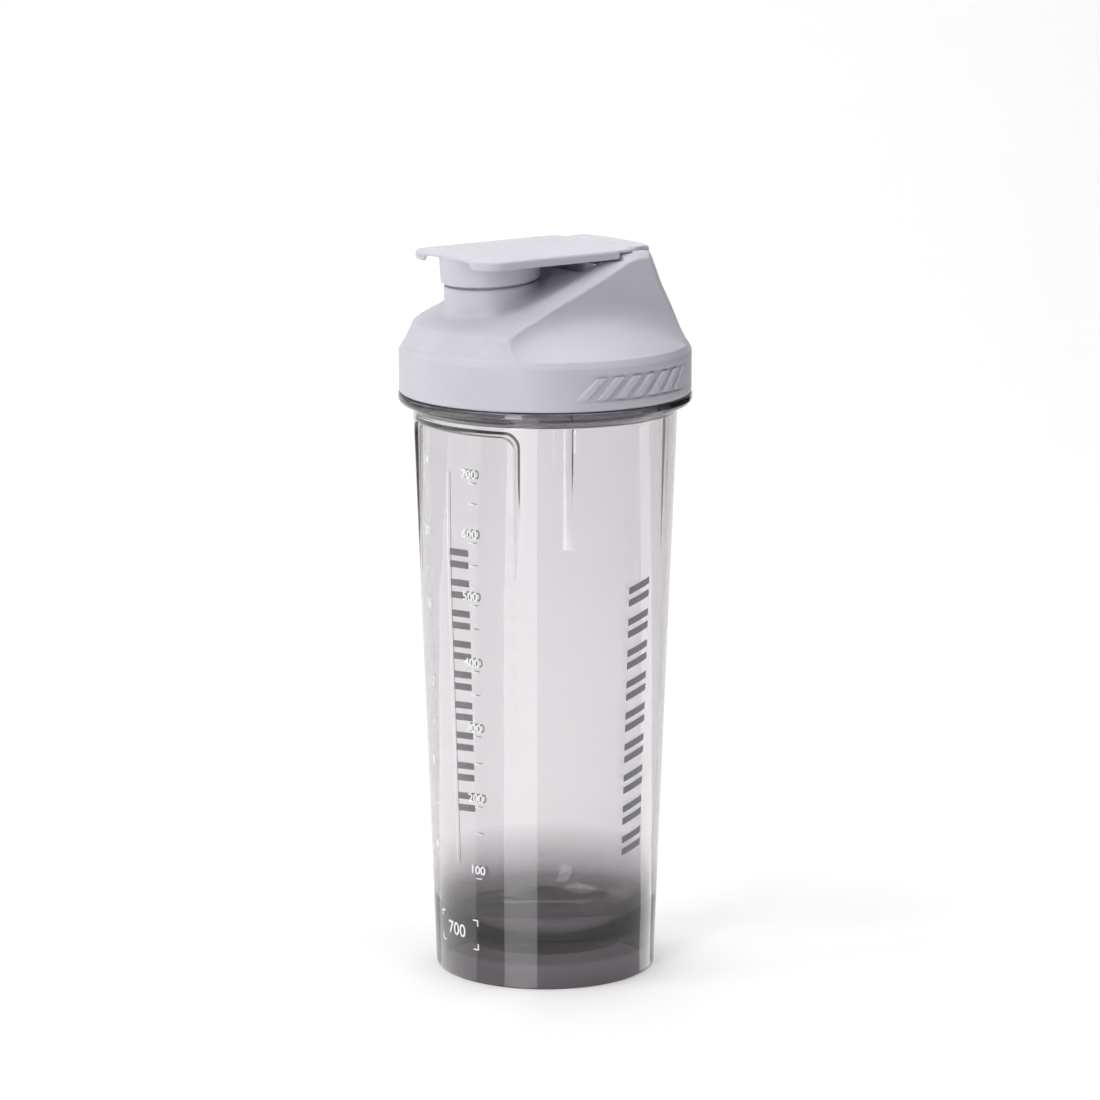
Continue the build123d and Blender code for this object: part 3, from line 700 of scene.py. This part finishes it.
# painted shadow of the scale print: dark, half transparent copies laid on the inside of the wall
mat_print_shadow = ink("painted_print_shadow_mat", lin(60, 58, 64), 0.5)
mat_rubber = rubbery("silicone_mat", lin(120, 120, 126))
mat_steel = steel("pin_steel_mat")


def finish_piece(ob, mat, body, replaces=None):
    ob.data.materials.clear()
    ob.data.materials.append(mat)
    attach(ob, body)
    if replaces:
        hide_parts(replaces)
    return ob


# ------------------------------------------------------------------ the pieces
cup = finish_piece(cup_mesh(), mat_cup, "cup", "cup")
H_LID, H_ARM = 0.42, 0.32
lid = surface(lid_f, (-49.5, -49.0, 190.6), (49.5, 49.0, 240.2), H_LID, "lid_body")
finish_piece(lid, mat_lid, "lid", "lid_shell")
arm = surface(arm_f, (-24.2, -40.3, 228.0), (24.2, 35.2, 241.0), H_ARM, "arm_body")
finish_piece(arm, mat_arm, "arm", "flip_arm")

full = np.radians(np.arange(0, 360, 2.0))
ring = rounded([(41.2, 203.62, 0.5), (44.6, 203.62, 0.5), (44.6, 204.2, 0.25), (44.25, 204.5, 0.2), (44.6, 204.8, 0.25), (44.6, 205.3, 0.4), (41.2, 205.3, 0.5)], 5)
gasket = lathe([(r, z, "n") for r, z in ring], full, "gasket_ring")
finish_piece(gasket, mat_rubber, "seal", "lid_gasket")
tiltm = Matrix.Translation(Vector((0, SPOUT_Y, SPOUT_REF)) * MM) @ Matrix.Rotation(math.radians(SPOUT_TILT), 4, "X")
lips = rounded([(10.62, 0.62, 0.3), (11.9, 0.62, 0.5), (12.3, 1.5, 0.3), (11.8, 2.0, 0.2), (11.8, 2.6, 0.2), (12.3, 3.1, 0.3), (11.9, 4.4, 0.4), (10.62, 4.4, 0.2)], 5)
seal = lathe([(r, z, "n") for r, z in lips], full, "spout_ring", transform=tiltm)
finish_piece(seal, mat_rubber, "arm", "spout_seal")
pin_rows = [(0, -20.2, "n"), (0.95, -20.2, "n"), (1.25, -19.9, "n"), (1.25, -10, "n"), (1.25, 10, "n"), (1.25, 19.9, "n"), (0.95, 20.2, "n"), (0, 20.2, "n")]
pin = lathe(pin_rows[::-1], np.radians(np.arange(0, 360, 7.5)), "pin_rod",
            transform=Matrix.Translation(Vector((0, HINGE_Y, HINGE_Z)) * MM) @ Matrix.Rotation(math.radians(90), 4, "Y"))
finish_piece(pin, mat_steel, "lid", "hinge_pin")
grid = nodes["mixing_grid"]
grid.data.materials.clear()
grid.data.materials.append(mat_grid)


# ------------------------------------------------------------------ prints on the cup
def wrap(me, az0, z0, inset=0.0, spin=0.0, lift=0.03, thick=0.05):
    """Lays a flat mesh (mm, in its XY plane) on the wall at azimuth az0 (degrees from the front) and height z0."""
    bm = bmesh.new()
    bm.from_mesh(me)
    bmesh.ops.remove_doubles(bm, verts=bm.verts, dist=1e-5)
    bmesh.ops.triangulate(bm, faces=bm.faces)
    for _ in range(3):
        long = [e for e in bm.edges if e.calc_length() > 1.6]
        if not long:
            break
        bmesh.ops.subdivide_edges(bm, edges=long, cuts=1)
        bmesh.ops.triangulate(bm, faces=[f for f in bm.faces if len(f.verts) > 4])
    bmesh.ops.recalc_face_normals(bm, faces=bm.faces)
    if bm.faces and sum(f.normal.z * f.calc_area() for f in bm.faces) < 0:
        bmesh.ops.reverse_faces(bm, faces=bm.faces)
    flat = [v.co.copy() for v in bm.verts]
    ret = bmesh.ops.extrude_face_region(bm, geom=list(bm.faces))
    new = [g for g in ret["geom"] if isinstance(g, bmesh.types.BMVert)]
    newset = set(new)
    cs, sn = math.cos(math.radians(spin)), math.sin(math.radians(spin))
    vs = list(bm.verts)
    U = np.array([v.co.x * cs - v.co.y * sn for v in vs])
    W = np.array([v.co.x * sn + v.co.y * cs for v in vs]) + z0
    A = np.radians(az0) + U / (FOOT_R + TAPER * z0)
    if inset:
        base = wall_r(W) - WALL - panel_depth(A, W, grow=1.1, edge=0.9)
        R = base - np.where([v in newset for v in vs], lift, lift + thick)
    else:
        base = outer_r(A, W)
        R = base + np.where([v in newset for v in vs], lift + thick, lift)
    for v, a, w, r in zip(vs, A, W, R):
        v.co = (r * math.sin(a) * MM, -r * math.cos(a) * MM, w * MM)
    bmesh.ops.recalc_face_normals(bm, faces=bm.faces)
    out = bpy.data.meshes.new("print")
    bm.to_mesh(out)
    bm.free()
    return out


def digits(txt, size):
    cu = bpy.data.curves.new("digits", "FONT")
    cu.body = txt
    cu.size = size
    cu.align_x = "LEFT"
    cu.align_y = "CENTER"
    cu.resolution_u = 4
    cu.offset = 0.07
    ob = bpy.data.objects.new("digits", cu)
    coll.objects.link(ob)
    bpy.context.view_layer.update()
    me = bpy.data.meshes.new_from_object(ob.evaluated_get(bpy.context.evaluated_depsgraph_get()))
    bpy.data.objects.remove(ob)
    bpy.data.curves.remove(cu)
    return me


def shape(polys):
    me = bpy.data.meshes.new("shape")
    v, f = [], []
    for p in polys:
        f.append(tuple(range(len(v), len(v) + len(p))))
        v += [(x, y, 0.0) for x, y in p]
    me.from_pydata(v, [], f)
    return me


def printed(meshes, name, mat):
    bm = bmesh.new()
    for me in meshes:
        bm.from_mesh(me)
    me = bpy.data.meshes.new(name)
    bm.to_mesh(me)
    bm.free()
    ob = bpy.data.objects.new(name, me)
    coll.objects.link(ob)
    ob.data.materials.append(mat)
    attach(ob, "cup")
    return ob


def rect(x0, x1, y0, y1):
    return [(x0, y0), (x1, y0), (x1, y1), (x0, y1)]


ML = {700: 170.2, 650: 160.7, 600: 150.7, 550: 140.6, 500: 130.3, 450: 119.7, 400: 108.4, 350: 97.7, 300: 86.6, 250: 74.9, 200: 63.0, 150: 51.3, 100: 38.8}
# the dark copies on the inner wall, offset beside the white print, are painted shadow of the print
front_marks, print_shadows = [], []
for v, z in ML.items():
    if v % 100 == 0:
        me = digits(str(v), 4.1)
        front_marks.append(wrap(me, 14.6, z))
        print_shadows.append(wrap(me, 15.2, z, inset=1))
        dash = shape([rect(0.4, 2.6, -2.9, -2.6)])
    else:
        dash = shape([rect(0.4, 2.6, -0.15, 0.15)])
    front_marks.append(wrap(dash, 18.0, z))
    print_shadows.append(wrap(dash, 18.6, z, inset=1))
line = shape([rect(-0.16, 0.16, -65.0, 65.0)])
front_marks.append(wrap(line, 5.8, 105.0))
print_shadows.append(wrap(line, 6.1, 105.0, inset=1))
oz_z = lambda oz: float(np.interp(oz * 29.5735, sorted(ML), [ML[k] for k in sorted(ML)]))
for oz in range(4, 25, 2):
    z = oz_z(oz) if oz * 29.5735 <= 700 else 170.2 + (oz * 29.5735 - 700) * 0.19
    if oz % 4 == 0:
        front_marks.append(wrap(digits(str(oz), 4.4), -15.5, z))
    else:
        front_marks.append(wrap(shape([rect(0.2, 2.2, -0.15, 0.15)]), -13.0, z))
# corner brackets round the capacity number near the foot
br = []
for sx, sy in ((1, 1), (1, -1), (-1, 1), (-1, -1)):
    x, y = 9.5 * sx, 5.2 * sy
    br.append(rect(min(x, x - 2.2 * sx), max(x, x - 2.2 * sx), min(y, y - 0.45 * sy), max(y, y - 0.45 * sy)))
    br.append(rect(min(x, x - 0.45 * sx), max(x, x - 0.45 * sx), min(y - 0.45 * sy, y - 2.2 * sy), max(y - 0.45 * sy, y - 2.2 * sy)))
front_marks.append(wrap(shape(br), 4.0, 16.6))
nm = digits("700", 6.2)
nm.transform(Matrix.Translation((-5.4, 0.0, 0)))
front_marks.append(wrap(nm, 4.0, 16.6))
printed(front_marks, "scale_print", mat_white)
printed(print_shadows, "scale_print_painted_shadow", mat_print_shadow)
# a plain column of slanted bars on each side
bars = []
for k in range(9):
    z = 4.6 + 10.42 * k
    for s in (0.0, 4.1):
        bars.append([(-4.4, z + s), (-4.4, z + s + 2.3), (4.4, z + s + 4.6), (4.4, z + s + 2.3)])
for name, az in (("side_bars_a", 102.7), ("side_bars_b", -77.3)):
    printed([wrap(shape(bars), az, 38.6)], name, mat_grey)

# ------------------------------------------------------------------ stage, light and camera
PHI = math.radians(55.0)
DIST, HIGH, PITCH = 1.3964, 0.4191, math.radians(11.339)
toward = Vector((math.sin(PHI), -math.cos(PHI), 0))
right = Vector((math.cos(PHI), math.sin(PHI), 0))


def place(az, dist, z):
    """A point round the axis: az in degrees from the camera direction, positive to the right of the view."""
    a = PHI + math.radians(az)
    return Vector((math.sin(a) * dist, -math.cos(a) * dist, z))


cam = bpy.data.objects.new("camera", bpy.data.cameras.new("camera"))
coll.objects.link(cam)
cam.data.sensor_width = 36.0
cam.data.lens = 142.19
cam.data.shift_x = 0.00436
cam.location = toward * DIST + Vector((0, 0, HIGH))
cam.rotation_euler = (math.pi / 2 - PITCH, 0, PHI)
cam.data.clip_start, cam.data.clip_end = 0.05, 50
scene.camera = cam

# floor that curves up behind
verts, faces = [], []
prof = [(7.0, 0.0), (1.0, 0.0), (0.2, 0.0), (-0.8, 0.0)]
for k in range(1, 13):
    q = math.radians(90 * k / 12)
    prof.append((-0.8 - 0.9 * math.sin(q), 0.9 - 0.9 * math.cos(q)))
prof.append((-1.7, 3.0))
for d, z in prof:
    for w in (-7.0, 7.0):
        p = toward * d + right * w
        verts.append((p.x, p.y, z))
for i in range(len(prof) - 1):
    faces.append((2 * i, 2 * i + 1, 2 * i + 3, 2 * i + 2))
me = bpy.data.meshes.new("floor")
me.from_pydata(verts, [], faces)
me.shade_smooth()
floor = bpy.data.objects.new("floor", me)
coll.objects.link(floor)
mf, nt, p, out = material("floor_mat")
nn = noise(nt, coords(nt), 3.0, 2.0)
nt.links.new(mixed(nt, nn, (0.965, 0.965, 0.965), (0.985, 0.985, 0.985)), p.inputs["Base Color"])
p.inputs["Roughness"].default_value = 0.9
p.inputs["Specular IOR Level"].default_value = 0.1
floor.data.materials.append(mf)

world = bpy.data.worlds.new("world")
scene.world = world
world.use_nodes = True
world.node_tree.nodes["Background"].inputs["Color"].default_value = (0.93, 0.94, 1.0, 1)
world.node_tree.nodes["Background"].inputs["Strength"].default_value = 0.15


def area(name, az, dist, z, w, h, power, target=(0, 0, 0.13), col=(1, 1, 1)):
    li = bpy.data.lights.new(name, "AREA")
    li.shape = "RECTANGLE"
    li.size, li.size_y = w, h
    li.energy = power
    li.color = col
    ob = bpy.data.objects.new(name, li)
    coll.objects.link(ob)
    ob.location = place(az, dist, z)
    ob.rotation_euler = (Vector(target) - ob.location).to_track_quat("-Z", "Y").to_euler()
    return ob


area("key", -62, 0.9, 1.45, 0.8, 0.8, 10.6, col=(1.0, 0.992, 0.965))
area("strip", -24, 0.95, 0.30, 0.22, 1.3, 4.5)
area("top", 70, 0.4, 1.3, 0.7, 0.7, 6.1, col=(1.0, 0.992, 0.97))
area("back_left", -115, 1.1, 0.5, 0.6, 0.9, 3.2)
area("backdrop", 180, 0.7, 1.9, 1.6, 0.6, 16.0, target=tuple(place(180, 1.7, 0.5)))

# reflector cards on the floor, seen only in reflections: the tall highlights down the wall
for k, (lo, hi, glow) in enumerate(((0.0135, 0.0026, 2.2), (0.0350, 0.0228, 1.1), (-0.0316, -0.0352, 1.6))):
    card = []
    for off, heights in ((lo, (0.0, 0.02, 0.05, 0.1, 0.15, 0.2, 0.3, 0.5)), (hi, (0.5, 0.3, 0.2, 0.15, 0.1, 0.05, 0.02, 0.0))):
        for z in heights:
            n = -math.degrees(math.asin(off / (0.0362 + 0.0372 * z)))
            card.append(tuple(place(n, 0.0366, 0.0006 + 0.0001 * k) + (place(2 * n, 1.0, 0.0) * (z / 0.277))))
    me = bpy.data.meshes.new("card")
    me.from_pydata(card, [], [tuple(range(len(card)))])
    card = bpy.data.objects.new("card_%d" % k, me)
    coll.objects.link(card)
    mc, nt, p, out = material("card_mat_%d" % k)
    p.inputs["Base Color"].default_value = (0.9, 0.9, 0.9, 1)
    p.inputs["Emission Color"].default_value = (1, 1, 1, 1)
    p.inputs["Emission Strength"].default_value = glow
    card.data.materials.append(mc)
    card.visible_camera = card.visible_diffuse = card.visible_transmission = card.visible_shadow = card.visible_volume_scatter = False

# a dark flag on the right that keeps the floor's and backdrop's bounce off the lid's shaded side
me = bpy.data.meshes.new("flag")
c, w = place(112, 0.30, 0.0), place(22, 0.22, 0.0)
me.from_pydata([tuple(c - w + Vector((0, 0, 0.13))), tuple(c + w + Vector((0, 0, 0.13))), tuple(c + w + Vector((0, 0, 0.42))), tuple(c - w + Vector((0, 0, 0.42)))], [], [(0, 1, 2, 3)])
flag = bpy.data.objects.new("flag", me)
coll.objects.link(flag)
mc, nt, p, out = material("flag_mat")
p.inputs["Base Color"].default_value = (0.02, 0.02, 0.02, 1)
p.inputs["Specular IOR Level"].default_value = 0.0
flag.data.materials.append(mc)
flag.visible_camera = flag.visible_transmission = flag.visible_shadow = flag.visible_volume_scatter = False

# a pale sweep round the sides and the front, so that every other view has the same plain ground behind it;
# it lights nothing, and is seen only directly or through the clear cup
me = bpy.data.meshes.new("surround")
turns = range(-130, 131, 5)
rows = [[tuple(place(a, r, z)) for a in turns] for r, z in ((0.5, 0.0004), (1.0, 0.0004), (1.75, 0.0004), (1.75, 3.0))]
n = len(turns)
me.from_pydata(sum(rows, []), [], [(r * n + i, r * n + i + 1, (r + 1) * n + i + 1, (r + 1) * n + i) for r in range(3) for i in range(n - 1)])
surround = bpy.data.objects.new("surround", me)
coll.objects.link(surround)
mc, nt, p, out = material("surround_mat")
p.inputs["Base Color"].default_value = (0.0, 0.0, 0.0, 1)
p.inputs["Specular IOR Level"].default_value = 0.0
p.inputs["Emission Color"].default_value = (1, 1, 1, 1)
p.inputs["Emission Strength"].default_value = 1.0
flat = nt.nodes.new("ShaderNodeMapping")
flat.inputs["Scale"].default_value = (1, 1, 0)
nt.links.new(coords(nt), flat.inputs["Vector"])
rad = nt.nodes.new("ShaderNodeVectorMath")
rad.operation = "LENGTH"
nt.links.new(flat.outputs["Vector"], rad.inputs[0])
nt.links.new(ramp(nt, rad.outputs["Value"], 0.0, 1.0, 0.52, 0.95), p.inputs["Alpha"])
surround.data.materials.append(mc)
surround.visible_diffuse = surround.visible_glossy = surround.visible_shadow = surround.visible_volume_scatter = False

scene.view_settings.view_transform = "Standard"
scene.view_settings.look = "None"
scene.view_settings.exposure = 0.0
